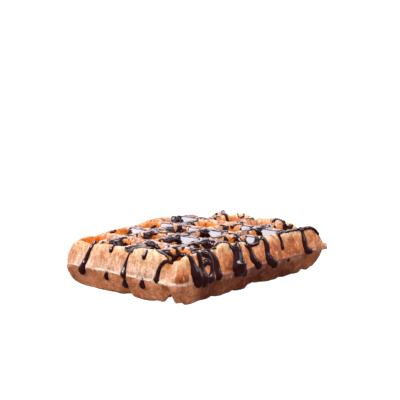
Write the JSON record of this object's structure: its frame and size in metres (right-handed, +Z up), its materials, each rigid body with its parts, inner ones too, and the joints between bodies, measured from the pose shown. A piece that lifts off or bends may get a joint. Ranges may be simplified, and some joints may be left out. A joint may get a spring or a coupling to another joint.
{
  "type": "chocolate waffle",
  "caption": "Thick baked waffle with deep square pockets on both faces, covered in strands, pools and drips of dark chocolate sauce.",
  "frame": {"origin": "middle of the footprint, on the plane that the underside rests on", "axes": "+Z up out of the sauced face, X along the long side, Y along the short side"},
  "size_m": [0.1384, 0.1106, 0.0325],
  "materials": {
    "crust": "golden to brown baked batter, matte and finely pitted",
    "chocolate": "dark glossy chocolate sauce"
  },
  "bodies": {
    "root": {"waffle": "crust"}
  },
  "joints": []
}
